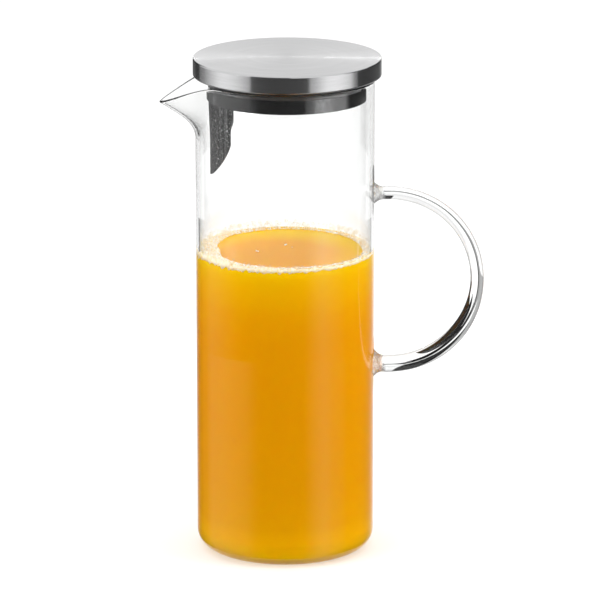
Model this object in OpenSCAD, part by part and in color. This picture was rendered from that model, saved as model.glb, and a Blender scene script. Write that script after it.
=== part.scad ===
// Glass pitcher with a steel lid. A straight blown-glass body has a spout drawn out of its rim and a
// glass rod welded on as its handle. The lid is a flat steel cap on a sleeve that hangs in the mouth,
// with a floor that closes it, a silicone seal, and a perforated tongue that strains at the spout.
// Origin: middle of the base, on the body's axis. +Z is up, the spout points along -X and the
// handle along +X.

/* [Glass body] */
// Outer diameter of the straight body
body_d = 100; // [90:1:115]
// Height of the glass rim above the base
rim_h = 271.5; // [250:0.5:300]
// Thickness of the blown wall
glass_t = 2; // [1.6:0.1:2.4]
// Thickness of the glass in the base
base_t = 5; // [4:0.5:7]
// Outer radius of the rounded foot
foot_r = 10; // [8:0.5:13]
// Inner radius between the wall and the floor
floor_r = 9; // [7:0.5:12]

/* [Spout] */
// How far the tip stands out from the body
spout_reach = 19.5; // [15:0.5:24]
// How far the tip lies below the rim
spout_fall = 13.5; // [8:0.5:16]
// Height of the wall that is drawn out, measured down from the rim
spout_h = 33; // [28:1:40]
// Angle on each side of the tip over which the wall is drawn out
spout_angle = 46; // [40:1:50]

/* [Handle] */
// Radius of the bend, at the middle of the rod
bend_r = 49.6; // [44:0.2:54]
// Straight length between the body and the bend
stub_l = 8.4; // [7:0.2:12]
// Height of the middle of the handle above the base
handle_h = 155.6; // [145:0.2:165]
// Diameter of the rod at its upper end
rod_top_d = 7.4; // [6:0.1:9]
// Diameter of the rod at its lower end
rod_low_d = 9.6; // [8:0.1:11]
// Length over which the rod spreads into its weld
weld_l = 5; // [3:0.5:6.5]

/* [Lid] */
// How far the cap stands out past the body
cap_overhang = 2.6; // [2.3:0.1:4]
// Height of the cap
cap_h = 10; // [8:0.5:14]
// Radius of the cap's upper and lower edges
cap_edge_r = 0.8; // [0.4:0.1:0.9]
// Thickness of the steel sheet
sheet_t = 1; // [0.8:0.1:1.2]
// How far the cap's lower edge is turned in under the sleeve's flange
hem_w = 3.2; // [2.6:0.1:3.4]
// Depth of the sleeve below the cap
sleeve_h = 13; // [12:0.5:16]
// Room between the sleeve and the glass, all round, with the lid in the middle of the mouth
sleeve_play = 3.8; // [3:0.1:4.4]
// How far the middle of the lid's floor is pressed up
floor_dish = 2; // [1:0.25:3]

/* [Seal] */
// Room between the seal and the glass, all round, with the lid in the middle of the mouth
seal_play = 1.6; // [1:0.1:1.8]
// Height of the seal's seat at the top of the sleeve
seal_h = 5.5; // [5:0.25:7]
// Thickness of the seal's flange below the cap
seal_flange_t = 1.2; // [1:0.1:1.6]
// How far the seal's flange reaches over the glass rim
seal_flange_w = 0.8; // [0.5:0.1:0.9]

/* [Strainer] */
// How far the tongue reaches below the sleeve
tongue_h = 43; // [38:0.5:48]
// Half of the tongue's width, straight across
tongue_half_w = 29.4; // [26:0.2:32]
// How much the radius of the tongue's round end is over half of its width
tongue_end_more = 1.1; // [0.5:0.1:3]
// Thickness of the tongue's sheet
tongue_t = 0.6; // [0.5:0.1:0.8]
// Diameter of the straining holes
hole_d = 1.8; // [1.5:0.1:2]
// Distance between neighbouring holes
hole_pitch = 3.5; // [3.4:0.1:4.5]
// Plain border round the holes
hole_border = 1.6; // [1.4:0.1:2.5]

/* [Hidden] */
$fn = 128;

// Fits
seat_gap = 0.3;
sheet_gap = 0.1;
// How far a cutting shape runs past what it cuts
overrun = 1;

// Glass
body_r = body_d / 2;
mouth_r = body_r - glass_t;
rim_side_z = rim_h - glass_t / 2;
rim_steps = 6;
spout_z = rim_h - spout_h;
spout_columns = 32;
spout_rows = 14;
// How far the faces of the drawn wall lie inside those of the straight wall, since drawing thins it
draw_thinning = 0.1;
drawn_t = glass_t - 2 * draw_thinning;
// How far the drawn wall runs on into the straight one, down and to each side
draw_root = 1;
draw_root_angle = draw_root / body_r * 180 / PI;
// The drawn rim runs straight toward its tip, as a wall does that is pulled with one tool
spout_taper_power = 2.3;
tip_round_share = 0.09;
bend_power = 1.5;
fall_lead_share = 0.3;
angle_step = 0.01;
row_step = 0.001;

// Handle
rod_sides = 16;
bend_stations = 30;
stub_stations = 6;
weld_sink = 1.5;
weld_spread_share = 0.65;
swell_start_share = 0.45;
swell_length_share = 0.4;

// Lid
cap_z = rim_h + seat_gap + seal_flange_t;
cap_r = body_r + cap_overhang;
cap_top_z = cap_z + cap_h;
flange_z = cap_z + sheet_t;
flange_r = cap_r - sheet_t - sheet_gap;
sleeve_r = mouth_r - sleeve_play;
sleeve_z = cap_z - sleeve_h;
seat_r = sleeve_r - sheet_t;
seat_z = cap_z - seal_h;
floor_top_z = seat_z - sheet_t;
floor_edge_w = 6;
seal_r = mouth_r - seal_play;
seal_flange_r = mouth_r + seal_flange_w;
// The lid is loose in the mouth and lies against its handle side, one gap from the glass
lid_x = seal_play - seat_gap;

// Strainer
tongue_r = sleeve_r - sheet_t - sheet_gap;
tongue_z = sleeve_z - tongue_h;
tongue_top_z = floor_top_z - sheet_t - seat_gap;
tongue_end_r = tongue_half_w + tongue_end_more;
row_pitch = hole_pitch * sqrt(3) / 2;

function unit(v) = v / norm(v);

// Smooth rise from 0 to 1 as x goes from 0 to 1
function ease(x) = let (c = min(max(x, 0), 1)) c * c * (3 - 2 * c);

// Profile of a wall's round edge, from the outside over the top to the inside
function rim_arc(wall) = [
    for (k = [0 : rim_steps])
        [cos(180 * k / rim_steps), sin(180 * k / rim_steps)] * wall / 2
];

// Share of the full draw at an angle from the tip, from 1 at the tip to 0 at the ends
function draw_share(a) =
    let (
        u = a / spout_angle,
        w = (sqrt(u * u + pow(tip_round_share, 2)) - tip_round_share)
            / (sqrt(1 + pow(tip_round_share, 2)) - tip_round_share)
    )
    pow(max(1 - w, 0), spout_taper_power);

// Share of the full draw at a height, from 0 where the wall starts to bend to 1 at the rim
function bend_share(s) = s < 0 ? 0 : pow(s, bend_power);

// Share of the full fall at a share of the draw: the wall falls soonest where its draw starts
function fall_share(draw) = draw * (1 + fall_lead_share * (1 - draw));

// Point of the drawn wall's outer face, pulled outward and down
function wall_point(a, s) =
    let (
        draw = draw_share(a) * bend_share(s),
        r = body_r - draw_thinning + (spout_reach + draw_thinning) * draw,
        z = spout_z + s * (rim_side_z - spout_z) - spout_fall * fall_share(draw)
    )
    [-r * cos(a), r * sin(a), z];

function wall_up(a, s) = unit(wall_point(a, s + row_step) - wall_point(a, s - row_step));
function wall_along(a, s) = unit(wall_point(a + angle_step, s) - wall_point(a - angle_step, s));
function wall_normal(a, s) = unit(cross(wall_up(a, s), wall_along(a, s)));

// One upright section through the drawn wall: up its outer face, over the rim and down inside
function wall_section(a) =
    let (
        heights = [-draw_root / spout_h, for (i = [0 : spout_rows - 1]) i / spout_rows],
        n = wall_normal(a, 1),
        up = wall_up(a, 1),
        top = wall_point(a, 1) - n * drawn_t / 2
    )
    concat(
        [for (s = heights) wall_point(a, s)],
        [for (p = rim_arc(drawn_t)) top + n * p[0] + up * p[1]],
        [
            for (i = [spout_rows : -1 : 0])
                wall_point(a, heights[i]) - wall_normal(a, heights[i]) * drawn_t
        ]
    );

// Triangles that close a section, laid like rungs between its two sides
function cap(first, count) = [
    for (i = [0 : ceil(count / 2) - 2])
        let (a = first + i, b = first + count - 1 - i)
        each (b - a > 2 ? [[a, a + 1, b - 1], [a, b - 1, b]] : [[a, a + 1, b]])
];

// The same triangles facing the other way
function flipped(triangles) = [for (t = triangles) [t[2], t[1], t[0]]];

// Solid through a row of closed sections that have the same number of points
module loft(sections) {
    count = len(sections[0]);
    last = len(sections) - 1;
    sides = [
        for (j = [0 : last - 1])
            for (i = [0 : count - 1])
                let (
                    a = j * count + i,
                    b = j * count + (i + 1) % count
                )
                each [[a, b, b + count], [a, b + count, a + count]]
    ];
    polyhedron(
        points = [for (s = sections) each s],
        faces = concat(sides, flipped(cap(0, count)), cap(last * count, count)),
        convexity = 8
    );
}

// Wall, foot and floor of the body as one turned profile
module body_profile() {
    difference() {
        union() {
            translate([0, foot_r]) square([body_r, rim_side_z - foot_r]);
            square([body_r - foot_r, foot_r]);
            translate([body_r - foot_r, foot_r]) circle(foot_r);
            translate([body_r - glass_t / 2, rim_side_z]) polygon(rim_arc(glass_t));
        }
        translate([0, base_t + floor_r]) square([mouth_r, rim_h]);
        translate([0, base_t]) square([mouth_r - floor_r, 2 * floor_r]);
        translate([mouth_r - floor_r, base_t + floor_r]) circle(floor_r);
    }
}

// Part of the straight wall that the drawn wall takes the place of
module spout_window() {
    reach = 2 * body_r;
    translate([0, 0, spout_z])
        linear_extrude(spout_h + overrun)
            polygon([
                [0, 0],
                [-reach * cos(spout_angle), -reach * sin(spout_angle)],
                [-2 * reach, 0],
                [-reach * cos(spout_angle), reach * sin(spout_angle)]
            ]);
}

module spout_wall() {
    loft([
        for (j = [0 : spout_columns])
            wall_section((spout_angle + draw_root_angle) * (1 - 2 * j / spout_columns))
    ]);
}

module glass_body() {
    color("lightcyan", 0.4) {
        difference() {
            rotate_extrude() body_profile();
            spout_window();
        }
        spout_wall();
    }
}

// Radius of the rod at a share of the bend from top to bottom and a distance from the body
function rod_radius(share, from_wall) =
    let (
        swell = ease((share - swell_start_share) / swell_length_share),
        r = (rod_top_d + (rod_low_d - rod_top_d) * swell) / 2,
        spread = pow(max(1 - max(from_wall, 0) / weld_l, 0), 2)
    )
    r * (1 + weld_spread_share * spread);

// One round section of the rod, at a point of the handle's plane and a direction in it
function rod_section(x, z, heading, r) = [
    for (i = [0 : rod_sides - 1])
        let (a = 360 * i / rod_sides)
        [x - r * sin(heading) * cos(a), r * sin(a), z + r * cos(heading) * cos(a)]
];

// The rod leaves the body level, bends through a half turn and comes back level
function handle_sections() =
    let (
        stub_end = body_r + stub_l,
        steps = [for (k = [0 : stub_stations - 1]) (stub_l + weld_sink) * k / stub_stations - weld_sink]
    )
    concat(
        [for (d = steps) rod_section(body_r + d, bend_r, 0, rod_radius(0, d))],
        [
            for (k = [0 : bend_stations])
                let (a = 180 * k / bend_stations)
                rod_section(
                    stub_end + bend_r * sin(a), bend_r * cos(a), -a,
                    rod_radius(k / bend_stations, stub_l)
                )
        ],
        [
            for (k = [stub_stations - 1 : -1 : 0])
                rod_section(body_r + steps[k], -bend_r, 180, rod_radius(1, steps[k]))
        ]
    );

module glass_handle() {
    color("lightcyan", 0.4)
        difference() {
            translate([0, 0, handle_h]) loft(handle_sections());
            cylinder(r = body_r, h = rim_h);
        }
}

// Rectangle from the axis outward whose outer corners are round
module disc_profile(r, z_low, z_high, edge_r) {
    translate([0, z_low]) square([r - edge_r, z_high - z_low]);
    translate([0, z_low + edge_r]) square([r, z_high - z_low - 2 * edge_r]);
    translate([r - edge_r, z_low + edge_r]) circle(edge_r);
    translate([r - edge_r, z_high - edge_r]) circle(edge_r);
}

// Pressed cap: a flat top, a short skirt, and a lower edge turned in to hold the sleeve
module lid_cap() {
    color("silver")
        translate([lid_x, 0, 0])
            rotate_extrude()
                difference() {
                    disc_profile(cap_r, cap_z, cap_top_z, cap_edge_r);
                    translate([0, flange_z]) square([cap_r - sheet_t, cap_h - 2 * sheet_t]);
                    translate([0, cap_z - overrun]) square([cap_r - hem_w, overrun + 2 * sheet_t]);
                }
}

// Sleeve that hangs in the mouth, set in at its top to seat the seal
module lid_sleeve() {
    color("gray")
        translate([lid_x, 0, 0])
            rotate_extrude()
                polygon([
                    [flange_r, flange_z + sheet_t],
                    [flange_r, flange_z],
                    [seat_r, flange_z],
                    [seat_r, seat_z],
                    [sleeve_r, seat_z],
                    [sleeve_r, sleeve_z],
                    [sleeve_r - sheet_t, sleeve_z],
                    [sleeve_r - sheet_t, floor_top_z],
                    [seat_r - sheet_t, floor_top_z],
                    [seat_r - sheet_t, flange_z + sheet_t]
                ]);
}

// Dished floor that closes the lid from below, against the step inside the sleeve
module lid_floor() {
    edge_r = sleeve_r - sheet_t - sheet_gap;
    dish_r = edge_r - floor_edge_w;
    color("darkgray")
        translate([lid_x, 0, 0])
            rotate_extrude()
                polygon([
                    [0, floor_top_z + floor_dish],
                    [dish_r, floor_top_z + floor_dish],
                    [dish_r + floor_dish, floor_top_z],
                    [edge_r, floor_top_z],
                    [edge_r, floor_top_z - sheet_t],
                    [dish_r + floor_dish - sheet_t / 2, floor_top_z - sheet_t],
                    [dish_r - sheet_t / 2, floor_top_z + floor_dish - sheet_t],
                    [0, floor_top_z + floor_dish - sheet_t]
                ]);
}

// Silicone ring: a flange that lies on the glass rim and a tapered collar that centres the lid
module lid_seal() {
    flange_low_z = cap_z - seal_flange_t;
    color("dimgray")
        translate([lid_x, 0, 0])
            rotate_extrude()
                polygon([
                    [seat_r + seat_gap, flange_z - seat_gap],
                    [seal_flange_r, flange_z - seat_gap],
                    [seal_flange_r, flange_low_z],
                    [seal_r, flange_low_z],
                    [sleeve_r, seat_z + seat_gap],
                    [seat_r + seat_gap, seat_z + seat_gap]
                ]);
}

// Outline of the tongue, seen along the spout: straight sides and a round end
module tongue_outline(inset) {
    end_z = tongue_z + tongue_end_r;
    intersection() {
        union() {
            translate([0, end_z]) circle(tongue_end_r - inset);
            translate([inset - tongue_end_r, end_z])
                square([2 * (tongue_end_r - inset), tongue_top_z - end_z]);
        }
        translate([inset - tongue_half_w, tongue_z])
            square([2 * (tongue_half_w - inset), tongue_top_z - tongue_z]);
    }
}

// True where a hole of the tongue stays inside its plain border
function hole_fits(a, z) =
    let (
        y = tongue_r * sin(a),
        end_z = tongue_z + tongue_end_r,
        room = hole_border + hole_d / 2
    )
    abs(y) < tongue_half_w - room
        && z < sleeve_z - room
        && (z > end_z || norm([y, z - end_z]) < tongue_end_r - room);

module strainer_holes() {
    rows = floor(tongue_h / row_pitch);
    columns = ceil(tongue_half_w / hole_pitch) * 2;
    for (i = [1 : rows], j = [-columns : columns]) {
        z = sleeve_z - i * row_pitch;
        a = (j + (i % 2) / 2) * hole_pitch / tongue_r * 180 / PI;
        if (abs(a) < 90 && hole_fits(a, z))
            translate([0, 0, z])
                rotate([0, -90, a])
                    translate([0, 0, tongue_r - tongue_t - overrun])
                        cylinder(d = hole_d, h = tongue_t + 2 * overrun);
    }
}

// Perforated tongue: a curved sheet that lies inside the sleeve and covers the spout's mouth
module strainer_tongue() {
    color("gray")
        translate([lid_x, 0, 0])
            difference() {
                intersection() {
                    difference() {
                        translate([0, 0, tongue_z]) cylinder(r = tongue_r, h = tongue_top_z - tongue_z);
                        translate([0, 0, tongue_z - overrun])
                            cylinder(r = tongue_r - tongue_t, h = tongue_top_z - tongue_z + 2 * overrun);
                    }
                    rotate([90, 0, -90]) linear_extrude(body_r) tongue_outline(0);
                }
                strainer_holes();
            }
}

glass_body();
glass_handle();
lid_cap();
lid_sleeve();
lid_floor();
lid_seal();
strainer_tongue();
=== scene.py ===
"""Glass pitcher with a steel lid, two thirds full of orange juice, on a pale studio floor.

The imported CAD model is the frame. The steel and silicone pieces of the lid are its own nodes with
better materials. The glass is rebuilt as one smooth fused piece, and the juice with its foam is
added inside it. All lengths are metres.
"""

import math
import random

import bmesh
import bpy
import numpy as np
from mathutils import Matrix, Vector, noise


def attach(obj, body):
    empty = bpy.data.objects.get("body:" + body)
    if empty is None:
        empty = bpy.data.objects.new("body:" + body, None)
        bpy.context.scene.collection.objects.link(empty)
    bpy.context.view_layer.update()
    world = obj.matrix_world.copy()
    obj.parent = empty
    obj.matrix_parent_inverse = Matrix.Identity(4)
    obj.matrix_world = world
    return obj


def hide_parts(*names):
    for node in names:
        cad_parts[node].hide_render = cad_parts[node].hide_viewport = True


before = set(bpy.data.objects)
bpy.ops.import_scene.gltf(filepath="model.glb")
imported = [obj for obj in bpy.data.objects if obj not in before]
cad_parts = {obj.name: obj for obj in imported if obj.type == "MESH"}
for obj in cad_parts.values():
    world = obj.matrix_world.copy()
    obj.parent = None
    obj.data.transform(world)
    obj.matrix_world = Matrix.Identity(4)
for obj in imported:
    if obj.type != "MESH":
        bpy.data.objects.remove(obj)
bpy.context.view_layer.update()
scene = bpy.context.scene

# Sizes, as in the CAD source
BODY_R = 0.050
GLASS_T = 0.002
MOUTH_R = BODY_R - GLASS_T
RIM_H = 0.2715
BASE_T = 0.005
FOOT_R = 0.010
FLOOR_R = 0.009
RIM_SIDE_Z = RIM_H - GLASS_T / 2

SPOUT_REACH = 0.0195
SPOUT_FALL = 0.0135
SPOUT_Z = RIM_H - 0.033
SPOUT_ANGLE = math.radians(46)
SPOUT_THIN = 0.0003
TAPER_POWER = 2.3
TIP_ROUND = 0.09
BEND_POWER = 1.5
FALL_LEAD = 0.3

BEND_R = 0.0496
STUB_L = 0.0084
HANDLE_Z = 0.1556
ROD_TOP_R = 0.0037
ROD_LOW_R = 0.0048
WELD_L = 0.005
WELD_SINK = 0.0009

LID_X = 0.0013

# The juice, whose sides sink a little into the glass so that no air gap shows
JUICE_Z = 0.1725
JUICE_OVERLAP = 0.00025
MENISCUS_H = 0.0012
MENISCUS_W = 0.003

MM = 0.001
WHITE = (1, 1, 1, 1)


# Small helpers
def ease(x):
    """Smooth rise from 0 to 1 as x goes from 0 to 1."""
    c = min(max(x, 0.0), 1.0)
    return c * c * (3 - 2 * c)


def between(x, table, blend=lambda share: share):
    """Value at x from a list of (x, value), joined by straight lines or by another blend."""
    for (x0, v0), (x1, v1) in zip(table, table[1:]):
        if x0 <= x <= x1:
            return v0 + (v1 - v0) * blend((x - x0) / (x1 - x0))
    return table[-1][1]


def mesh_object(name, vertices, faces, smooth=True):
    """A mesh object in the scene from plain lists."""
    mesh = bpy.data.meshes.new(name)
    mesh.from_pydata([tuple(v) for v in vertices], [], faces)
    mesh.validate()
    mesh.polygons.foreach_set("use_smooth", [smooth] * len(mesh.polygons))
    mesh.update()
    obj = bpy.data.objects.new(name, mesh)
    scene.collection.objects.link(obj)
    return obj


def ring_grid(rings, first_pole=None, last_pole=None):
    """Vertices and faces through closed rings of equal length, with a pole at either end."""
    count = len(rings[0])
    vertices = [p for ring in rings for p in ring]
    faces = []
    for j in range(len(rings) - 1):
        for i in range(count):
            k = (i + 1) % count
            faces.append((j * count + i, j * count + k, (j + 1) * count + k, (j + 1) * count + i))
    for pole, ring in ((first_pole, 0), (last_pole, len(rings) - 1)):
        if pole is None:
            continue
        vertices.append(pole)
        tip = len(vertices) - 1
        for i in range(count):
            a, b = ring * count + i, ring * count + (i + 1) % count
            faces.append((tip, b, a) if ring == 0 else (tip, a, b))
    return vertices, faces


def full_turn(count):
    return [2 * math.pi * k / count for k in range(count)]


def turned(profile, angles):
    """Rings of a turned form: profile is (radius, height) pairs."""
    return [[(r * math.cos(a), r * math.sin(a), z) for a in angles] for r, z in profile]


def arc(cx, cz, radius, start, end, steps=14):
    """Points of a profile's arc, angles in degrees from +radius toward +height."""
    found = []
    for k in range(steps + 1):
        a = math.radians(start + (end - start) * k / steps)
        found.append((cx + radius * math.cos(a), cz + radius * math.sin(a)))
    return found


def outward(obj):
    """Turns all faces of a closed mesh outward."""
    work = bmesh.new()
    work.from_mesh(obj.data)
    bmesh.ops.recalc_face_normals(work, faces=work.faces)
    work.to_mesh(obj.data)
    work.free()


def dress(obj, *materials):
    obj.data.materials.clear()
    for m in materials:
        obj.data.materials.append(m)


class Nodes:
    """The node tree of a material or world, with short calls that add nodes and join them."""

    def __init__(self, owner, output_kind="ShaderNodeOutputMaterial"):
        owner.use_nodes = True
        self.owner = owner
        self.tree = owner.node_tree
        self.tree.nodes.clear()
        self.output = self.add(output_kind)

    def put(self, socket, value):
        """Links a socket to another one, or gives it a plain value."""
        if isinstance(value, bpy.types.NodeSocket):
            self.tree.links.new(value, socket)
        else:
            socket.default_value = value

    def add(self, kind, settings=None, **inputs):
        """A new node. Each input's name is written with _ for a space."""
        node = self.tree.nodes.new(kind)
        for key, value in (settings or {}).items():
            setattr(node, key, value)
        for key, value in inputs.items():
            self.put(node.inputs[key.replace("_", " ")], value)
        return node

    def fill(self, node, *values):
        """Fills a node's first inputs in order and gives its first output."""
        for socket, value in zip(node.inputs, values):
            self.put(socket, value)
        return node.outputs[0]

    def math(self, operation, a, b=0.0, clamp=False):
        settings = {"operation": operation, "use_clamp": clamp}
        return self.fill(self.add("ShaderNodeMath", settings), a, b)

    def vector(self, operation, a, b):
        return self.fill(self.add("ShaderNodeVectorMath", {"operation": operation}), a, b)

    def length(self, a, b):
        squares = self.math("ADD", self.math("POWER", a, 2), self.math("POWER", b, 2))
        return self.math("SQRT", squares)

    def swing(self, factor, amount):
        """A noise's deviation from its middle, scaled."""
        return self.math("MULTIPLY", self.math("SUBTRACT", factor, 0.5), amount)

    def place(self):
        return self.add("ShaderNodeTexCoord").outputs["Object"]

    def parts(self, vector):
        return self.add("ShaderNodeSeparateXYZ", Vector=vector).outputs

    def noise(self, place, **inputs):
        return self.add("ShaderNodeTexNoise", Vector=place, **inputs).outputs[0]

    def bump(self, height, strength, distance):
        node = self.add("ShaderNodeBump", Strength=strength, Distance=distance, Height=height)
        return node.outputs[0]

    def ramp(self, factor, stops):
        node = self.add("ShaderNodeValToRGB")
        elements = node.color_ramp.elements
        while len(elements) < len(stops):
            elements.new(0.5)
        for element, (position, colour) in zip(elements, stops):
            element.position = position
            element.color = (*colour, 1)
        return self.fill(node, factor)

    def blend(self, factor, a, b, mode="MIX"):
        """Two colours blended. A Mix node's colour sockets are inputs 6 and 7 and output 2."""
        node = self.add("ShaderNodeMix", {"data_type": "RGBA", "blend_type": mode})
        self.put(node.inputs[0], factor)
        self.put(node.inputs[6], a)
        self.put(node.inputs[7], b)
        return node.outputs[2]

    def facing(self):
        """0 where a surface is seen square on, 1 where it is seen edge on."""
        return self.add("ShaderNodeLayerWeight", Blend=0.5).outputs["Facing"]

    def principled(self, **inputs):
        return self.add("ShaderNodeBsdfPrincipled", **inputs)

    def clear(self, colour=WHITE):
        return self.add("ShaderNodeBsdfTransparent", Color=colour).outputs[0]

    def mixed(self, share, first, second):
        return self.fill(self.add("ShaderNodeMixShader"), share, first, second)

    def surface(self, shader):
        self.put(self.output.inputs["Surface"], shader)
        return self.owner


def new_material(name):
    return Nodes(bpy.data.materials.new(name))


def grey(value):
    return (value, value, value)


# Glass materials. Each list holds (share of the way to edge on, tint). The darkening toward edge on
# is partly the glass's own tint and partly painted shade for the dark outlines of the walls, spout
# and rod.
CLEAR_EDGE = [(0.0, 0.99), (0.7, 0.98), (0.9, 0.88), (1.0, 0.75)]
DRAWN_EDGE = [(0.0, 0.99), (0.55, 0.98), (0.75, 0.6), (1.0, 0.12)]
ROD_EDGE = [(0.0, 0.99), (0.25, 0.98), (0.4, 0.8), (0.6, 0.5), (1.0, 0.15)]
# The rim glass beside the lid is painted grey at every angle, as painted shade from the lid above
# it.
RIM_PAINTED_SHADE = [(0.0, 0.30), (0.7, 0.30), (1.0, 0.22)]
EDGE_GREEN = 1.003
SHADOW_TINT = (0.96, 0.97, 0.97, 1)
MELT_REACH = 1.3
MILK_START = 0.38
MILK_GAIN = 3.2
MILK_LEAST = 0.3


def melt(t, glass):
    """Makes glass wavy and milky close to the body, where it was welded on."""
    place = t.place()
    past_wall = t.math("SUBTRACT", t.parts(place)[0], BODY_R)
    beyond = t.math("DIVIDE", past_wall, WELD_L * MELT_REACH)
    near = t.math("SUBTRACT", 1.0, beyond, clamp=True)
    swirl = t.noise(place, Scale=430.0, Detail=3.0, Distortion=1.2)
    waves = t.bump(t.math("MULTIPLY", swirl, near), 0.9, 0.0018)
    t.put(glass.inputs["Normal"], waves)
    streaks = t.math("MULTIPLY", t.math("SUBTRACT", swirl, MILK_START), MILK_GAIN, clamp=True)
    streaks = t.math("ADD", t.math("MULTIPLY", streaks, 1 - MILK_LEAST), MILK_LEAST)
    milk = t.math("MULTIPLY", streaks, near)
    t.put(glass.inputs["Transmission Weight"], t.math("SUBTRACT", 1.0, milk, clamp=True))


def glass_material(name, edge, melted=False):
    """Clear glass that lets the lamps through, greyer where it is seen edge on, partly its own tint
    and partly painted shade.
    """
    t = new_material(name)
    glass = t.principled(
        Base_Color=t.ramp(t.facing(), [(share, (v, v * EDGE_GREEN, v)) for share, v in edge]),
        Roughness=0.0,
        IOR=1.47,
        Transmission_Weight=1.0,
    )
    if melted:
        melt(t, glass)
    shadow = t.add("ShaderNodeLightPath").outputs["Is Shadow Ray"]
    return t.surface(t.mixed(shadow, glass.outputs[0], t.clear(SHADOW_TINT)))


# Lid materials
FINE_TONE = 0.30
BROAD_TONE = 0.14
ROUGHNESS_SWING = 0.03
TURN_GRAIN = 1.3
STEEL_BLUE = 1.01


def brushed_steel(name, colour, roughness, anisotropy, grain, bump):
    """Steel brushed in circles about the lid's axis. The grain is in waves per metre."""
    t = new_material(name)
    x, y, z = t.parts(t.vector("SUBTRACT", t.place(), (LID_X, 0, 0)))
    brushing = t.add(
        "ShaderNodeCombineXYZ",
        X=t.math("MULTIPLY", t.length(x, y), grain),
        Y=t.math("MULTIPLY", z, grain),
        Z=t.math("MULTIPLY", t.math("ARCTAN2", y, x), TURN_GRAIN),
    ).outputs[0]
    fine = t.noise(brushing, Scale=1.0, Detail=3.0, Roughness=0.6)
    broad = t.noise(brushing, Scale=0.12, Detail=2.0)
    tone = t.math("ADD", t.swing(fine, FINE_TONE), t.swing(broad, BROAD_TONE))
    value = t.math("MULTIPLY", colour, t.math("ADD", 1.0, tone))
    blue = t.math("MULTIPLY", value, STEEL_BLUE)
    tint = t.add("ShaderNodeCombineColor", Red=value, Green=value, Blue=blue)
    tangent = t.add("ShaderNodeTangent", {"direction_type": "RADIAL", "axis": "Z"})
    steel = t.principled(
        Base_Color=tint.outputs[0],
        Metallic=1.0,
        Roughness=t.math("ADD", roughness, t.swing(fine, ROUGHNESS_SWING)),
        Anisotropic=anisotropy,
        Anisotropic_Rotation=0.25,
        Tangent=tangent.outputs[0],
        Normal=t.bump(fine, bump, 0.00002),
    )
    return t.surface(steel.outputs[0])


TONGUE_STRETCH = (1.0, 1.0, 0.06)
# The tongue's streaks are painted nearly black as painted shade, and its bright specks are painted
# glints.
TONGUE_SHADED_STREAKS = [(0.46, grey(0.001)), (0.60, grey(0.07))]
TONGUE_PAINTED_GLINTS = [(0.61, grey(0.0)), (0.69, grey(0.35))]


def tongue_material():
    """Drawn sheet with upright streaks, painted nearly black as painted shade, with bright specks
    that are painted glints.
    """
    t = new_material("drawn_tongue")
    place = t.place()
    streak = t.noise(t.vector("MULTIPLY", place, TONGUE_STRETCH), Scale=420.0, Detail=3.0)
    painted_glint = t.noise(place, Scale=1200.0, Detail=1.0)
    sheet = t.ramp(streak, TONGUE_SHADED_STREAKS)
    steel = t.principled(
        Base_Color=t.blend(1.0, sheet, t.ramp(painted_glint, TONGUE_PAINTED_GLINTS), "ADD"),
        Metallic=1.0,
        Roughness=0.4,
        # A dark specular tint, painting shade on the sheet where it is seen edge on.
        Specular_Tint=(0.07, 0.07, 0.07, 1),
        Normal=t.bump(streak, 0.8, 0.0012),
    )
    return t.surface(steel.outputs[0])


def silicone_material():
    t = new_material("silicone_dark")
    grain = t.noise(t.place(), Scale=900.0, Detail=4.0)
    skin = t.principled(
        Base_Color=t.ramp(grain, [(0.3, (0.012, 0.012, 0.013)), (0.7, (0.03, 0.03, 0.032))]),
        Roughness=0.42,
        Normal=t.bump(grain, 0.15, 0.0001),
    )
    return t.surface(skin.outputs[0])


# Juice and foam materials. The juice's tones are painted light and shade: on the sides they run up
# from the foot to the surface, bright at the foot and the top and darker between, and on the
# surface they run outward from the middle of a painted shaded patch.
SIDE_PAINTED_LIGHT = [
    (0.0, (1.0, 0.64, 0.002)),
    (0.05, (0.93, 0.50, 0.0005)),
    (0.13, (0.79, 0.38, 0.0003)),
    (0.26, (0.77, 0.345, 0.0002)),
    (0.50, (0.77, 0.33, 0.0002)),
    (0.76, (0.78, 0.335, 0.0002)),
    (0.84, (0.80, 0.37, 0.0002)),
    (0.95, (0.85, 0.48, 0.0003)),
    (1.0, (0.87, 0.55, 0.001)),
]
TOP_PAINTED_LIGHT = [(0.0, (0.95, 0.38, 0.02)), (0.5, (0.97, 0.40, 0.014)), (0.86, (1.0, 0.60, 0.004))]
TOP_SHADE_MIDDLE = (-0.004, -0.012)
TOP_REACH = 0.060
PULP_TONE = (0.88, 0.44, 0.001, 1)
PULP_SHARE = 0.10
CLOUD_SHARE = 0.08

FOAM_TONES = [(0.0, (1.0, 0.96, 0.90)), (0.5, (1.0, 0.89, 0.68)), (0.9, (0.98, 0.70, 0.28))]
FROTH_TONES = [(0.39, (1.0, 0.74, 0.34)), (0.54, (0.99, 0.98, 0.96))]
FILM_LEAST = 0.05
FILM_EDGE = 0.35
FILM_POWER = 3.0


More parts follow.
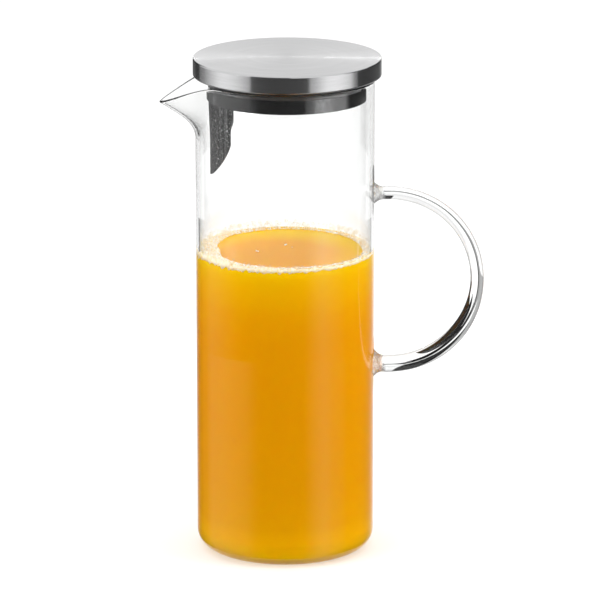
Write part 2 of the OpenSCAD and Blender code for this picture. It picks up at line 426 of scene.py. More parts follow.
def juice_material(name, surface):
    """Orange juice with fine pulp over painted light and shade, for its sides or for the glossier
    surface.
    """
    t = new_material(name)
    place = t.place()
    x, y, z = t.parts(place)
    if surface:
        across = t.math("SUBTRACT", x, TOP_SHADE_MIDDLE[0])
        along = t.math("SUBTRACT", y, TOP_SHADE_MIDDLE[1])
        share = t.math("DIVIDE", t.length(across, along), TOP_REACH, clamp=True)
    else:
        share = t.math("DIVIDE", z, JUICE_Z, clamp=True)
    # The painted light and shade under the pulp.
    body = t.ramp(share, TOP_PAINTED_LIGHT if surface else SIDE_PAINTED_LIGHT)
    pulp = t.noise(place, Scale=420.0, Detail=5.0, Roughness=0.65)
    cloud = t.noise(place, Scale=28.0, Detail=2.0)
    amount = t.math(
        "ADD", t.math("MULTIPLY", pulp, PULP_SHARE), t.math("MULTIPLY", cloud, CLOUD_SHARE)
    )
    juice = t.principled(
        Base_Color=t.blend(amount, body, PULP_TONE),
        Roughness=0.14 if surface else 0.5,
        IOR=1.34,
        Specular_IOR_Level=0.10 if surface else 0.0,
        Subsurface_Weight=0.35,
        Subsurface_Radius=(1.0, 0.45, 0.05),
        Subsurface_Scale=0.008,
        Normal=t.bump(pulp, 0.10, 0.0003),
    )
    return t.surface(juice.outputs[0])


def foam_material():
    """Cream-coloured foam whose cells are darker toward their borders, with a faint glow of painted
    light.
    """
    t = new_material("foam_cream")
    cells = t.add("ShaderNodeTexVoronoi", Vector=t.place(), Scale=1250.0).outputs["Distance"]
    shade = t.ramp(cells, FOAM_TONES)
    foam = t.principled(
        Base_Color=shade,
        Roughness=0.4,
        IOR=1.34,
        Subsurface_Weight=0.3,
        Subsurface_Radius=(1.0, 0.8, 0.5),
        Subsurface_Scale=0.001,
        # A faint glow, painted light that lifts the foam.
        Emission_Color=shade,
        Emission_Strength=0.10,
        Normal=t.bump(cells, 0.6, 0.0003),
    )
    return t.surface(foam.outputs[0])


def froth_material():
    """The finest bubbles, nearly white, with patches that take the juice's colour, and a faint glow
    of painted light.
    """
    t = new_material("froth_white")
    shade = t.ramp(t.noise(t.place(), Scale=650.0, Detail=2.0), FROTH_TONES)
    froth = t.principled(
        Base_Color=shade,
        Roughness=0.5,
        IOR=1.34,
        # A faint glow, painted light that keeps the froth white.
        Emission_Color=shade,
        Emission_Strength=0.12,
    )
    return t.surface(froth.outputs[0])


def bubble_material():
    """A thin film of juice: clear in the middle, with a pale glowing film toward its outline as
    painted reflection and painted light.
    """
    t = new_material("bubble_film")
    film = t.principled(
        Base_Color=(0.97, 0.95, 0.92, 1),
        Roughness=0.15,
        IOR=1.34,
        # The film's glow is painted light.
        Emission_Color=(1.0, 0.98, 0.96, 1),
        Emission_Strength=0.18,
    )
    edge = t.math("MULTIPLY", t.math("POWER", t.facing(), FILM_POWER), FILM_EDGE)
    amount = t.math("ADD", edge, FILM_LEAST)
    return t.surface(t.mixed(amount, t.clear((0.99, 0.98, 0.96, 1)), film.outputs[0]))


# Lid: the CAD nodes
lid_steel = brushed_steel("brushed_lid", 0.62, 0.22, 1.0, 2600, 0.02)
# The sleeve and lid floor are steel painted nearly black, as painted shade under the cap's skirt
# and behind the glass.
shaded_sleeve_steel = brushed_steel("satin_sleeve_painted_shade", 0.034, 0.20, 0.85, 1700, 0.10)
for node, finish in (
    ("lid_cap", lid_steel),
    ("lid_sleeve", shaded_sleeve_steel),
    ("lid_floor", shaded_sleeve_steel),
    ("strainer_tongue", tongue_material()),
    ("lid_seal", silicone_material()),
):
    dress(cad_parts[node], finish)


# Glass body. Angles run round it from the spout's tip, and s is the share of the height from the
# spout's lower end to the rim.
SPOUT_STEPS = 64
SPOUT_SPACING = 1.35
BACK_STEPS = 96
WALL_STEPS = 14
SPOUT_ROWS = 30
RIM_STEPS = 10
HEIGHT_NUDGE = 1e-3
ANGLE_NUDGE = 1e-4
STEEP = 0.5
UNDERSIDE_RINGS = (0.012, 0.024, 0.034)
FLOOR_RINGS = (0.030, 0.020, 0.010)


def draw_share(a):
    """How far the wall is drawn out at an angle: 1 at the tip and 0 beside the spout."""
    u = a / SPOUT_ANGLE
    w = (math.hypot(u, TIP_ROUND) - TIP_ROUND) / (math.hypot(1, TIP_ROUND) - TIP_ROUND)
    return max(1 - w, 0) ** TAPER_POWER


def bend_share(s):
    return 0 if s < 0 else s**BEND_POWER


def fall_share(draw):
    return draw * (1 + FALL_LEAD * (1 - draw))


def wall_thickness(a, s):
    return GLASS_T - 2 * SPOUT_THIN * draw_share(a) * bend_share(s)


def wall_point(a, s):
    """Point of the wall's outer face."""
    draw = draw_share(a) * bend_share(s)
    r = BODY_R + SPOUT_REACH * draw
    z = SPOUT_Z + s * (RIM_SIDE_Z - SPOUT_Z) - SPOUT_FALL * fall_share(draw)
    return Vector((-r * math.cos(a), -r * math.sin(a), z))


def wall_frame(a, s):
    """Unit directions up the wall and out of it."""
    up = (wall_point(a, s + HEIGHT_NUDGE) - wall_point(a, s - HEIGHT_NUDGE)).normalized()
    along = (wall_point(a + ANGLE_NUDGE, s) - wall_point(a - ANGLE_NUDGE, s)).normalized()
    out = along.cross(up).normalized()
    if out.dot(Vector((-math.cos(a), -math.sin(a), 0))) < 0 and abs(out.z) < STEEP:
        out = -out
    return up, out


def glass_angles():
    """Angles round the body from the tip, closer together over the spout."""
    spout = [SPOUT_ANGLE * (k / SPOUT_STEPS) ** SPOUT_SPACING for k in range(SPOUT_STEPS + 1)]
    back = [
        SPOUT_ANGLE + (math.pi - SPOUT_ANGLE) * k / BACK_STEPS for k in range(1, BACK_STEPS + 1)
    ]
    half = spout + back
    return half + [-a for a in reversed(half[1:-1])]


def drawn_wall(angles):
    """Rings up the outer face from the spout's lower end, over the rim and down inside."""
    outer, rim, inner = [], [], []
    for k in range(SPOUT_ROWS):
        s = k / SPOUT_ROWS
        outer.append([wall_point(a, s) for a in angles])
        inner.append(
            [wall_point(a, s) - wall_frame(a, s)[1] * wall_thickness(a, s) for a in angles]
        )
    for k in range(RIM_STEPS + 1):
        turn = math.pi * k / RIM_STEPS
        ring = []
        for a in angles:
            up, out = wall_frame(a, 1)
            thick = wall_thickness(a, 1)
            middle = wall_point(a, 1) - out * thick / 2
            ring.append(middle + (out * math.cos(turn) + up * math.sin(turn)) * thick / 2)
        rim.append(ring)
    return outer + rim + inner[::-1]


def glass_body():
    """The whole wall: underside, foot, tube, spout and rim, and back down inside to the floor."""
    angles = glass_angles()
    spread = [math.pi + a for a in angles]
    low = BASE_T + FLOOR_R
    steps = range(1, WALL_STEPS)
    rings = turned([(r, 0) for r in UNDERSIDE_RINGS], spread)
    rings += turned(arc(BODY_R - FOOT_R, FOOT_R, FOOT_R, -90, 0), spread)
    rings += turned([(BODY_R, FOOT_R + (SPOUT_Z - FOOT_R) * k / WALL_STEPS) for k in steps], spread)
    rings += drawn_wall(angles)
    rings += turned([(MOUTH_R, SPOUT_Z - (SPOUT_Z - low) * k / WALL_STEPS) for k in steps], spread)
    rings += turned(arc(MOUTH_R - FLOOR_R, low, FLOOR_R, 0, -90), spread)
    rings += turned([(r, BASE_T) for r in FLOOR_RINGS], spread)
    return mesh_object("glass_shape", *ring_grid(rings, (0, 0, 0), (0, 0, BASE_T)))


# Glass handle
ROD_SIDES = 40
STUB_RINGS = 14
BEND_STEPS = 120
SWELL_START = 0.45
SWELL_LENGTH = 0.4
WELD_SPREAD = 0.65
WAVE_REACH = 1.2
WELD_WAVES = ((3, 1.3, 40, 0.05), (5, 0.4, 0, 0.035))


def rod_radius(share, from_wall):
    """The rod is thicker in its lower part and spreads where it meets the wall."""
    swell = ease((share - SWELL_START) / SWELL_LENGTH)
    r = ROD_TOP_R + (ROD_LOW_R - ROD_TOP_R) * swell
    spread = max(1 - max(from_wall, 0) / WELD_L, 0) ** 2
    return r * (1 + WELD_SPREAD * spread)


def weld_wave(a, z):
    """Uneven outline of the weld, from (waves round the rod, phase, twist per metre, height)."""
    return sum(h * math.sin(n * a + phase + z * twist) for n, phase, twist, h in WELD_WAVES)


def rod_path():
    """Along the rod: x, height over its middle, heading, radius and distance from the wall."""
    stub = [(STUB_L + WELD_SINK) * k / STUB_RINGS - WELD_SINK for k in range(STUB_RINGS)]
    path = [(BODY_R + d, BEND_R, 0.0, rod_radius(0, d), d) for d in stub]
    for k in range(BEND_STEPS + 1):
        a = math.pi * k / BEND_STEPS
        x = BODY_R + STUB_L + BEND_R * math.sin(a)
        path.append((x, BEND_R * math.cos(a), -a, rod_radius(k / BEND_STEPS, STUB_L), STUB_L))
    return path + [(BODY_R + d, -BEND_R, -math.pi, rod_radius(1, d), d) for d in reversed(stub)]


def glass_rod():
    """The bent rod, with rings square to its path and slightly uneven ends."""
    rings = []
    for x, z, heading, radius, d in rod_path():
        uneven = max(1 - max(d, 0) / (WELD_L * WAVE_REACH), 0)
        ring = []
        for a in full_turn(ROD_SIDES):
            r = radius * (1 + uneven * weld_wave(a, z))
            ring.append(
                (
                    x - r * math.sin(heading) * math.cos(a),
                    r * math.sin(a),
                    HANDLE_Z + z + r * math.cos(heading) * math.cos(a),
                )
            )
        rings.append(ring)
    ends = [(r[0][0], 0, HANDLE_Z + z) for r, z in ((rings[0], BEND_R), (rings[-1], -BEND_R))]
    return mesh_object("rod_shape", *ring_grid(rings, *ends))


def fused(a, b, name):
    """One object holding the union of two closed meshes."""
    outward(a)
    outward(b)
    union = a.modifiers.new("union", "BOOLEAN")
    union.operation = "UNION"
    union.solver = "EXACT"
    union.object = b
    bpy.context.view_layer.update()
    mesh = bpy.data.meshes.new_from_object(a.evaluated_get(bpy.context.evaluated_depsgraph_get()))
    mesh.name = name
    for old in (a, b):
        bpy.data.objects.remove(old)
    mesh.polygons.foreach_set("use_smooth", [True] * len(mesh.polygons))
    obj = bpy.data.objects.new(name, mesh)
    scene.collection.objects.link(obj)
    return obj


# The fused glass and its finishes, by their places in the list of materials
CLEAR, DRAWN, ROD, RIM = range(4)
OUTSIDE_WALL = BODY_R * 1.0008
DRAWN_LEAST = 0.01


def glass_finish(x, y, z):
    """Which finish the glass has at a place."""
    from_tip = abs(math.atan2(y, -x))
    if x > 0 and math.hypot(x, y) > OUTSIDE_WALL:
        return ROD
    if z > SPOUT_Z and x < 0 and draw_share(from_tip) > DRAWN_LEAST:
        return DRAWN
    # The rim away from the spout takes the glass painted grey as the lid's shade.
    if z > RIM_SIDE_Z and from_tip > SPOUT_ANGLE:
        return RIM
    return CLEAR


jug = fused(glass_body(), glass_rod(), "glass_jug")
dress(
    jug,
    glass_material("clear_glass", CLEAR_EDGE),
    glass_material("drawn_glass", DRAWN_EDGE),
    glass_material("rod_glass", ROD_EDGE, melted=True),
    glass_material("rim_glass_painted_shade", RIM_PAINTED_SHADE),
)
for face in jug.data.polygons:
    face.material_index = glass_finish(*face.center)
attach(jug, "pitcher")
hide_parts("glass_body", "glass_handle")

# Juice
JUICE_SIDES = 192
JUICE_FOOT_RINGS = (0.012, 0.026)
JUICE_TOP_RINGS = (0.038, 0.028, 0.018, 0.009)
SIDE_STEPS = 24
MENISCUS_STEPS = 8
MENISCUS_REACH = 1.6
MENISCUS_FADE = 2.2
SURFACE_SLACK = 1e-5
SURFACE_TILT = 0.3


def juice_profile():
    """(radius, height) from the foot up the wall and over the raised edge to the surface."""
    r = MOUTH_R + JUICE_OVERLAP
    corner = FLOOR_R + JUICE_OVERLAP
    low = BASE_T - JUICE_OVERLAP
    side_start = low + corner
    top = JUICE_Z + MENISCUS_H
    profile = [(ring, low) for ring in JUICE_FOOT_RINGS]
    profile += arc(r - corner, low + corner, corner, -90, 0)
    for k in range(1, SIDE_STEPS + 1):
        profile.append((r, side_start + (top - side_start) * k / SIDE_STEPS))
    for k in range(MENISCUS_STEPS + 1):
        d = MENISCUS_W * MENISCUS_REACH * k / MENISCUS_STEPS
        rise = MENISCUS_H * math.exp(-d / MENISCUS_W * MENISCUS_FADE)
        profile.append((MOUTH_R - d, JUICE_Z + rise))
    return profile + [(ring, JUICE_Z) for ring in JUICE_TOP_RINGS]


def juice_piece():
    rings = turned(juice_profile(), full_turn(JUICE_SIDES))
    ends = (0, 0, BASE_T - JUICE_OVERLAP), (0, 0, JUICE_Z)
    obj = mesh_object("juice", *ring_grid(rings, *ends))
    outward(obj)
    dress(obj, juice_material("juice_body", False), juice_material("juice_top", True))
    for polygon in obj.data.polygons:
        lowest = min(obj.data.vertices[v].co.z for v in polygon.vertices)
        on_top = lowest > JUICE_Z - SURFACE_SLACK and polygon.normal.z > SURFACE_TILT
        polygon.material_index = 1 if on_top else 0
    return obj


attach(juice_piece(), "pitcher")

# Foam. The tables hold (bearing in degrees, millimetres): bearing 0 faces the camera and 90 the
# handle.
FOAM_WIDTH = [
    (-180, 1.6), (-140, 3.0), (-112, 6.5), (-85, 10.0), (-55, 7.5), (-25, 4.0), (15, 2.8),
    (60, 3.2), (95, 4.0), (140, 2.2), (180, 1.6),
]
FOAM_HEIGHT = [
    (-180, 0.8), (-130, 1.6), (-85, 2.8), (-40, 2.0), (0, 1.5), (60, 1.3), (100, 1.3), (140, 0.8),
    (180, 0.8),
]
FOAM_DROP = [(-180, 0.4), (-85, 1.4), (-30, 1.4), (20, 1.0), (70, 0.7), (180, 0.4)]
FOAM_WALL_R = MOUTH_R + JUICE_OVERLAP * 1.2
FOAM_COLUMNS = 360
FOAM_STEPS = 10
FOAM_INNER_SINK = 0.0006
FOAM_TOP_SINK = 0.0002
FOAM_LEAST_DROP = 0.0002
FALL_ROUND = 1.8
FALL_POWER = 0.8

# Ripples of the foam, as (rate, amount, place in the noise), and the noise ring that they run on
NOISE_RING = 9
WIDTH_RIPPLES = ((1, 0.35), (3.3, 0.3))
WIDTH_WANDER = 0.8
HEIGHT_RIPPLE = (2.1, 0.8, (3, 1, 7))
DROP_RIPPLE = (2.9, 1.2, (9, 4, 1))
LUMP_RATE = 6
LUMP_AMOUNT = 0.35
LUMP_DRIFT = 4

# Small bubbles. SMALL_FULL is the foam's width, less 1 mm, at which every try is kept.
SMALL_TRIES = 11000
SMALL_FULL = 9
SMALL_SIZE = (0.00012, 0.0004)
SMALL_CROWD = 0.8
SMALL_SPREAD = 1.15
SMALL_GAP = 1.05
SMALL_RISE = (0.6, 1.3)

# Clear bubbles, with sizes and places of their own at the back
CLEAR_COUNT = 650
CLEAR_SIZE = (0.0004, 0.0008)
CLEAR_SPREAD = 0.9
CLEAR_GAP = 1.02
CLEAR_CLIMB = 1.1
CLEAR_RISE = (0.1, 1.0)
BACK_BEARING = 80
BACK_SIZE = (0.0004, 0.0014)
BACK_INWARD = 0.003
BACK_CLIMB = 0.0055

# Bubbles out on the surface: x, y and radius
LONE_BUBBLES = (
    (-0.0160, -0.0035, 0.0006), (-0.0150, -0.0048, 0.0005), (0.0000, 0.0100, 0.0006),
    (0.0008, 0.0112, 0.0004), (0.0040, 0.0050, 0.0003),
)
LONE_RISE = 0.3


def bearing(a):
    return (math.degrees(a) + 90 + 180) % 360 - 180


def foam_size(a, table):
    """Metres from one of the foam's tables, joined smoothly."""
    return between(bearing(a), table, ease) * MM


def foam_fall(q):
    """The foam's height from the wall, where q is 0, to its inner edge, where q is 1."""
    return (1 - q**FALL_ROUND) ** FALL_POWER


def ripple(here, rate, amount, shift):
    """A factor near 1 that wanders along the foam."""
    return 1 + amount * noise.noise(here * rate + Vector(shift))


def foam_base():
    """The pale ring of froth that the bubbles lie on, against the glass."""
    rings = [[] for _ in range(FOAM_STEPS + 3)]
    for a in full_turn(FOAM_COLUMNS):
        here = Vector((math.cos(a), math.sin(a), 0)) * NOISE_RING
        jitter = sum(noise.noise(here * rate) * amount for rate, amount in WIDTH_RIPPLES)
        width = foam_size(a, FOAM_WIDTH) * (1 + jitter * WIDTH_WANDER)
        height = foam_size(a, FOAM_HEIGHT) * ripple(here, *HEIGHT_RIPPLE)
        drop = max(foam_size(a, FOAM_DROP) * ripple(here, *DROP_RIPPLE), FOAM_LEAST_DROP)
        section = [(MOUTH_R - width, JUICE_Z - FOAM_INNER_SINK), (FOAM_WALL_R, JUICE_Z - drop)]
        for k in range(FOAM_STEPS + 1):
            q = k / FOAM_STEPS
            r = FOAM_WALL_R - (FOAM_WALL_R - MOUTH_R + width) * q
            lump = ripple(here, LUMP_RATE, LUMP_AMOUNT, (0, 0, q * LUMP_DRIFT))
            section.append((r, JUICE_Z - FOAM_TOP_SINK + height * foam_fall(q) * lump))
        for ring, (r, z) in zip(rings, section):
            ring.append((r * math.cos(a), r * math.sin(a), z))
    vertices, faces = ring_grid(rings + rings[:1])
    last = len(rings) * FOAM_COLUMNS
    faces = [tuple(v - last if v >= last else v for v in f) for f in faces]
    obj = mesh_object("foam_base", vertices[:last], faces)
    outward(obj)
    dress(obj, foam_material())
    return obj


def ball(subdivisions):
    """Points and faces of a unit ball."""
    work = bmesh.new()
    bmesh.ops.create_icosphere(work, subdivisions=subdivisions, radius=1)
    vertices = np.array([v.co for v in work.verts])
    faces = np.array([[v.index for v in f.verts] for f in work.faces])
    work.free()
    return vertices, faces


def balls(name, places, subdivisions, finish):
    """One mesh of many balls, from (x, y, z, radius)."""
    unit, faces = ball(subdivisions)
    vertices = np.concatenate([unit * r + np.array((x, y, z)) for x, y, z, r in places])
    all_faces = np.concatenate([faces + k * len(unit) for k in range(len(places))])
    obj = mesh_object(name, vertices.tolist(), all_faces.tolist())
    dress(obj, finish)
    return obj


def small_places(dice):
    """The small bubbles on the froth, most of them where it is wide, and the lone ones."""
    found = []
    for _ in range(SMALL_TRIES):
        a = dice.uniform(0, 2 * math.pi)
        width = foam_size(a, FOAM_WIDTH)
        if dice.random() * SMALL_FULL > width / MM + 1.0:
            continue
        r = dice.uniform(*SMALL_SIZE)
        q = dice.random() ** SMALL_CROWD
        reach = MOUTH_R - r * SMALL_GAP - (width * SMALL_SPREAD - r) * q
        z = JUICE_Z + foam_size(a, FOAM_HEIGHT) * foam_fall(q) * dice.uniform(*SMALL_RISE)
        found.append((reach * math.cos(a), reach * math.sin(a), z, r))
    return found + [(x, y, JUICE_Z + r * LONE_RISE, r) for x, y, r in LONE_BUBBLES]


def clear_places(dice):
    """The larger clear bubbles. At the back they climb the wall."""
    found = []
    for _ in range(CLEAR_COUNT):
        a = dice.uniform(0, 2 * math.pi)
        back = abs(bearing(a)) > BACK_BEARING
        r = dice.uniform(*(BACK_SIZE if back else CLEAR_SIZE))
        most_inward = BACK_INWARD if back else foam_size(a, FOAM_WIDTH) * CLEAR_SPREAD
        climb = BACK_CLIMB if back else foam_size(a, FOAM_HEIGHT) * CLEAR_CLIMB
        reach = MOUTH_R - r * CLEAR_GAP - dice.random() * most_inward
        z = JUICE_Z + dice.uniform(*CLEAR_RISE) * climb
        found.append((reach * math.cos(a), reach * math.sin(a), z, r))
    return found


dice = random.Random(7)
for piece in (
    foam_base(),
    balls("foam_bubbles", small_places(dice), 1, froth_material()),
    balls("clear_bubbles", clear_places(dice), 3, bubble_material()),
):
    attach(piece, "pitcher")

# Stage: a white floor and world, four lamps, and reflectors for the glints
FLOOR_RADII = (0.5, 1.5, 4.0, 9.0)
FLOOR_SIDES = 64
FLOOR_Z = -0.0002
FLOOR_PAINT = (0.76, 0.76, 0.76, 1)
FLOOR_LIFT = 0.30
WORLD_LIGHT = 0.62


def in_beam(t):
    """1 for rays that show the background: from the camera, mirrored and through glass."""
    path = t.add("ShaderNodeLightPath").outputs
    seen = t.math("ADD", path["Is Camera Ray"], path["Is Glossy Ray"])
    return t.math("MINIMUM", t.math("ADD", seen, path["Is Transmission Ray"]), 1.0)


def studio_floor():
    rings = turned([(r, FLOOR_Z) for r in FLOOR_RADII], full_turn(FLOOR_SIDES))
    floor = mesh_object("floor", *ring_grid(rings, (0, 0, FLOOR_Z)))
    t = new_material("floor_white")
    paint = t.add("ShaderNodeBsdfDiffuse", Color=FLOOR_PAINT)
    strength = t.math("MULTIPLY", in_beam(t), FLOOR_LIFT)
    lift = t.add("ShaderNodeEmission", Color=WHITE, Strength=strength)
    both = t.fill(t.add("ShaderNodeAddShader"), paint.outputs[0], lift.outputs[0])
    dress(floor, t.surface(both))


def studio_world():
    """Even light on the object, and plain white wherever the background itself is seen."""
    scene.world = bpy.data.worlds.new("studio")
    t = Nodes(scene.world, "ShaderNodeOutputWorld")
    light = t.add("ShaderNodeBackground", Color=WHITE, Strength=WORLD_LIGHT)
    shown = t.add("ShaderNodeBackground", Color=WHITE, Strength=1.0)
    t.surface(t.mixed(in_beam(t), light.outputs[0], shown.outputs[0]))


def lamp(name, place, size, power, aim=(0, 0, 0.14)):
    """A soft rectangular lamp in watts that shows in no reflection."""
    data = bpy.data.lights.new(name, "AREA")
    data.shape = "RECTANGLE"
    data.size, data.size_y = size
    data.energy = power
    obj = bpy.data.objects.new(name, data)
    scene.collection.objects.link(obj)
    obj.location = place
    obj.rotation_euler = (Vector(aim) - Vector(place)).to_track_quat("-Z", "Y").to_euler()
    obj.visible_glossy = False


# Reflectors. A card's direction 0 is toward the camera and 90 to the right, in degrees, and its
# profile holds (distance, height). A ray that goes through one wall crosses two faces of glass.
CARD_STEP = 2
LOW_END = 0.77
SPOUT_START = 1.0
INSIDE_WIDE = 156
INSIDE = 134
FEW_FACES = 2.5
MANY_FACES = 3.5


def mirrored_inside(direction, distance):
    """Whether the wall's inner face mirrors this place too. That darkens the wall's edges there."""
    wide = distance < LOW_END or (distance > SPOUT_START and direction < 0)
    return abs(direction) < (INSIDE_WIDE if wide else INSIDE)


def card_mesh(name, table, profile, origin):
    """A bent sheet that holds at each point its strength and whether the inner face mirrors it."""
    start, end = table[0][0], table[-1][0]
    steps = max(2, int((end - start) / CARD_STEP))
    directions = [start + (end - start) * k / steps for k in range(steps + 1)]
    points, glow, inner = [], [], []
    for d, z in profile:
        for direction in directions:
            out = math.radians(direction)
            mirror = (BODY_R * math.sin(out / 2), -BODY_R * math.cos(out / 2))
            x, y = origin or mirror
            points.append((x + d * math.sin(out), y - d * math.cos(out), z))
            glow.append(between(direction, table))
            inner.append(1.0 if mirrored_inside(direction, d) else 0.0)
    count = steps + 1
    faces = [
        (j * count + i, j * count + i + 1, (j + 1) * count + i + 1, (j + 1) * count + i)
        for j in range(len(profile) - 1)
        for i in range(steps)
    ]
    obj = mesh_object(name, points, faces, smooth=False)
    for key, values in (("glow", glow), ("inner", inner)):
        obj.data.attributes.new(key, "FLOAT", "POINT").data.foreach_set("value", values)
    return obj


def card_material(name, seen):
    """Plain light for the rays that a card is meant for, and nothing for all others."""
    t = new_material(name)
    strength = t.add("ShaderNodeAttribute", {"attribute_name": "glow"}).outputs["Fac"]
    light = t.add("ShaderNodeEmission", Color=WHITE, Strength=strength)
    path = t.add("ShaderNodeLightPath").outputs
    bounced = t.math("GREATER_THAN", path["Glossy Depth"], 0.5)
    faces = path["Transmission Depth"]
    if seen == "mirrored":
        inner = t.add("ShaderNodeAttribute", {"attribute_name": "inner"}).outputs["Fac"]
        limit = t.math("ADD", t.math("MULTIPLY", inner, 2.0), 0.5)
        shown = t.math("MULTIPLY", bounced, t.math("LESS_THAN", faces, limit))
    elif seen == "behind_glass":
        shown = t.math("MULTIPLY", bounced, t.math("GREATER_THAN", faces, MANY_FACES))
    else:
        straight = t.math("SUBTRACT", 1.0, bounced)
        shown = t.math("MULTIPLY", straight, t.math("LESS_THAN", faces, FEW_FACES))
    return t.surface(t.mixed(shown, t.clear(), light.outputs[0]))


def card(name, table, profile, seen="mirrored", origin=None):
    """A reflector that only some rays meet.

    The table holds (direction, strength). Distances run from the origin or, without one, from the
    place where the jug's wall mirrors that direction to the camera. A card is seen mirrored, or
    mirrored behind_glass, or through the glass of the handle.
    """
    obj = card_mesh(name, table, profile, origin)
    dress(obj, card_material(name, seen))
    obj.visible_camera = False
    obj.visible_diffuse = False
    obj.visible_shadow = False
    obj.visible_glossy = seen == "mirrored"


# Floor cards, from near to far. The wall mirrors them in that order from its foot upward, and the
# cap's skirt mirrors the last one. Pairs of close distances mark where mirrored_inside changes.
NEAR = [(0.0005, 0.001), (0.42, 0.001)]
MIDDLE = [(0.42, 0.001), (0.765, 0.001), (0.775, 0.001), (0.85, 0.001)]
FAR = [(0.85, 0.001), (0.99, 0.001), (1.01, 0.001), (1.215, 0.001)]
RIM_LIGHT = [(1.215, 0.001), (2.6, 0.001)]
NEAR_GLOW = [
    (-180, 1.0), (-168, 0.7), (-153, 0.1), (-140, 0.03), (-124, 0.1), (-110, 0.4), (-88, 0.5),
    (-66, 0.4), (-52, 0.3), (-42, 0.1), (-32, 0.02), (24, 0.02), (31, 0.15), (38, 0.35), (48, 0.6),
    (56, 0.6), (64, 0.35), (78, 0.2), (88, 0.04), (110, 0.04), (128, 0.07), (140, 0.2), (150, 0.45),
    (160, 0.9), (180, 1.0),
]
MIDDLE_GLOW = [
    (-180, 1.0), (-168, 0.7), (-153, 0.1), (-140, 0.03), (-124, 0.1), (-110, 0.32), (-97, 0.32),
    (-82, 0.2), (-69, 0.08), (-56, 0.02), (24, 0.02), (31, 0.12), (38, 0.3), (50, 0.6), (61, 0.4),
    (74, 0.2), (86, 0.04), (110, 0.04), (128, 0.07), (140, 0.2), (150, 0.45), (160, 0.9),
    (180, 1.0),
]
FAR_GLOW = [
    (-180, 0.6), (-165, 0.3), (-150, 0.05), (-140, 0.05), (-130, 0.2), (-118, 0.7), (-108, 0.85),
    (-64, 0.82), (-47, 0.5), (-42, 0.12), (-10, 0.06), (25, 0.14), (29, 0.6), (50, 1.3), (62, 1.7),
    (72, 1.8), (84, 1.6), (90, 0.5), (94, 0.06), (150, 0.06), (165, 0.4), (180, 0.6),
]
RIM_GLOW = [
    (-180, 0.3), (-166, 0.12), (-134, 0.12), (-120, 0.12), (-109, 0.7), (-99, 1.55), (-90, 2.45),
    (-82, 2.75), (-74, 2.7), (-67, 2.5), (-59, 2.05), (-53, 1.5), (-46, 0.75), (-40, 0.42),
    (-30, 0.28), (15, 0.24), (27, 0.5), (35, 0.9), (42, 1.8), (48, 2.4), (55, 2.85), (62, 2.75),
    (69, 2.45), (77, 1.95), (85, 1.1), (90, 0.2), (94, 0.2), (150, 0.22), (166, 0.6), (180, 0.6),
]

# Dark flags round the jug, for the edges of the lid and glass, and the same behind the glass
FLAGS = (("left", -166, -132), ("front", -45, 27), ("right", 94, 162))
FLAG_WALL = [(1.35, 0.002), (1.35, 1.1)]
FLAG_STRENGTH = 0.05
BEHIND_WALL = [(0.92, 0.002), (1.2, 0.002), (1.2, 1.1)]
BEHIND_STRENGTH = 0.02

# The bright patch that the sleeve mirrors behind the glass
SPARK = [(0.92, 0.003), (1.19, 0.003), (1.19, 0.2)]
SPARK_GLOW = [(36, 1.0), (44, 11), (52, 12), (62, 8), (72, 3)]

# Small bright cards behind the lid that its brushed top draws out into one line across it, as
# (degrees to either side of straight back, height)
STREAKS = ((7.5, 0.803), (9.3, 0.753), (11.0, 0.687))
STREAK_AT = (-0.03, 0.0)
STREAK_DISTANCE = 2.3
STREAK_HEIGHT = 0.024
STREAK_HALF = 0.9
STREAK_STRENGTH = 22

# Dark and grey cards that are seen bent through the handle's rod. Those that overlap lie at heights
# of their own.
DARK = 0.02
ROD_AT = (0.1, 0.0)
STUB_AT = (0.0597, 0.0)
PATCH_AT = (0.078, -3.0)
HANDLE_CARDS = (
    ("side_far", ROD_AT, [(112, 0.06), (134, 0.06)], [(0.45, 0.003), (0.95, 0.003)]),
    ("side_wall", ROD_AT, [(110, 0.4), (128, 0.4)], [(0.96, 0.003), (0.96, 1.2)]),
    ("side_middle", ROD_AT, [(110, DARK), (140, DARK)], [(0.34, 0.003), (0.50, 0.003)]),
    ("side_near", ROD_AT, [(108, DARK), (160, DARK)], [(0.10, 0.003), (0.34, 0.003)]),
    ("low", ROD_AT, [(160, DARK), (179, DARK)], [(0.10, 0.004), (0.42, 0.004)]),
    ("middle", ROD_AT, [(179, DARK), (183.5, DARK)], [(0.36, 0.0045), (0.50, 0.0045)]),
    ("up", ROD_AT, [(-178, DARK), (-160, DARK)], [(1.25, 0.006), (2.0, 0.006), (2.0, 2.1)]),
    ("grey_near", ROD_AT, [(-177, 0.35), (-163, 0.4)], [(0.40, 0.005), (0.66, 0.005)]),
    ("grey", ROD_AT, [(-163, 0.5), (-125, 0.6)], [(0.5, 0.005), (2.1, 0.005), (2.1, 0.5)]),
    ("patch", PATCH_AT, [(179.79, DARK), (180.21, DARK)], [(3.30, 0.045), (3.30, 0.081)]),
    ("wedge", STUB_AT, [(177.6, DARK), (182.4, DARK)], [(0.15, 0.21), (0.15, 0.46)]),
)


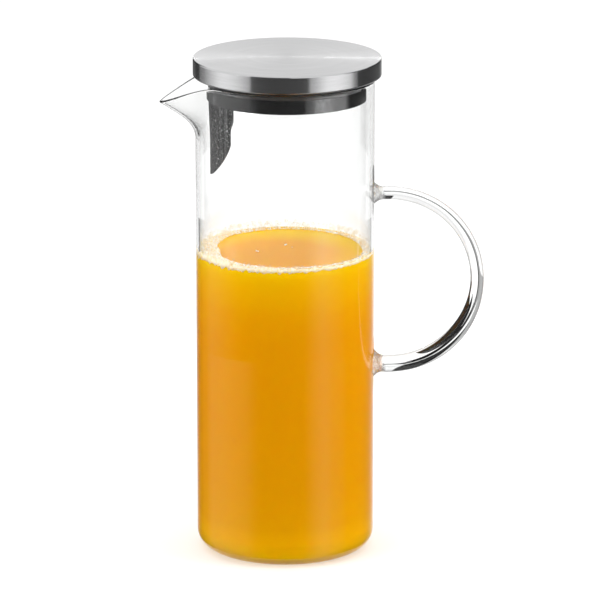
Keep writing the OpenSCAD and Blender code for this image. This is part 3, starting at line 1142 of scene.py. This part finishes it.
def reflectors():
    card("floor_near", NEAR_GLOW, NEAR)
    card("floor_middle", MIDDLE_GLOW, MIDDLE)
    card("floor_far", FAR_GLOW, FAR)
    card("floor_rim", RIM_GLOW, RIM_LIGHT)
    for name, start, end in FLAGS:
        front = [(start, FLAG_STRENGTH), (end, FLAG_STRENGTH)]
        behind = [(start, BEHIND_STRENGTH), (end, BEHIND_STRENGTH)]
        card("flag_" + name, front, FLAG_WALL)
        card("flag_behind_" + name, behind, BEHIND_WALL, seen="behind_glass")
    card("spark_behind", SPARK_GLOW, SPARK, seen="behind_glass")
    for turn, low in STREAKS:
        sheet = [(STREAK_DISTANCE, low), (STREAK_DISTANCE, low + STREAK_HEIGHT)]
        for middle in (180 - turn, 180 + turn):
            sides = (middle - STREAK_HALF, middle + STREAK_HALF)
            table = [(side, STREAK_STRENGTH) for side in sides]
            card("streak_%d" % middle, table, sheet, origin=STREAK_AT)
    for name, origin, table, profile in HANDLE_CARDS:
        card("handle_" + name, table, profile, seen="through", origin=origin)


# The camera stands where 17 measured places of the photo's outline fit best
CAMERA_AT = Vector((0.0086, -2.65, 0.8561))
CAMERA_AIM = Vector((0.0084, 0, 0.14594))
CAMERA_LENS = 292.4
CAMERA_FRAME = 36
CAMERA_CLIP = (0.1, 50)


def camera():
    data = bpy.data.cameras.new("camera")
    data.lens = CAMERA_LENS
    data.sensor_width = CAMERA_FRAME
    data.clip_start, data.clip_end = CAMERA_CLIP
    obj = bpy.data.objects.new("camera", data)
    scene.collection.objects.link(obj)
    obj.location = CAMERA_AT
    obj.rotation_euler = (CAMERA_AIM - CAMERA_AT).to_track_quat("-Z", "Y").to_euler()
    scene.camera = obj


studio_floor()
studio_world()
lamp("key", (-1.7, -0.8, 1.4), (1.2, 1.6), 18)
lamp("fill", (1.8, -0.4, 1.1), (1.0, 1.6), 20)
lamp("top", (0.0, 0.3, 2.2), (1.6, 1.6), 19)
lamp("low", (0.0, -1.3, 0.10), (2.4, 0.12), 1.2, aim=(0, 0, 0.01))
reflectors()
camera()

# Enough bounces for rays that cross all walls of the jug
scene.cycles.max_bounces = 24
scene.cycles.transmission_bounces = 24
scene.cycles.glossy_bounces = 8
scene.cycles.transparent_max_bounces = 24
scene.view_settings.view_transform = "Standard"
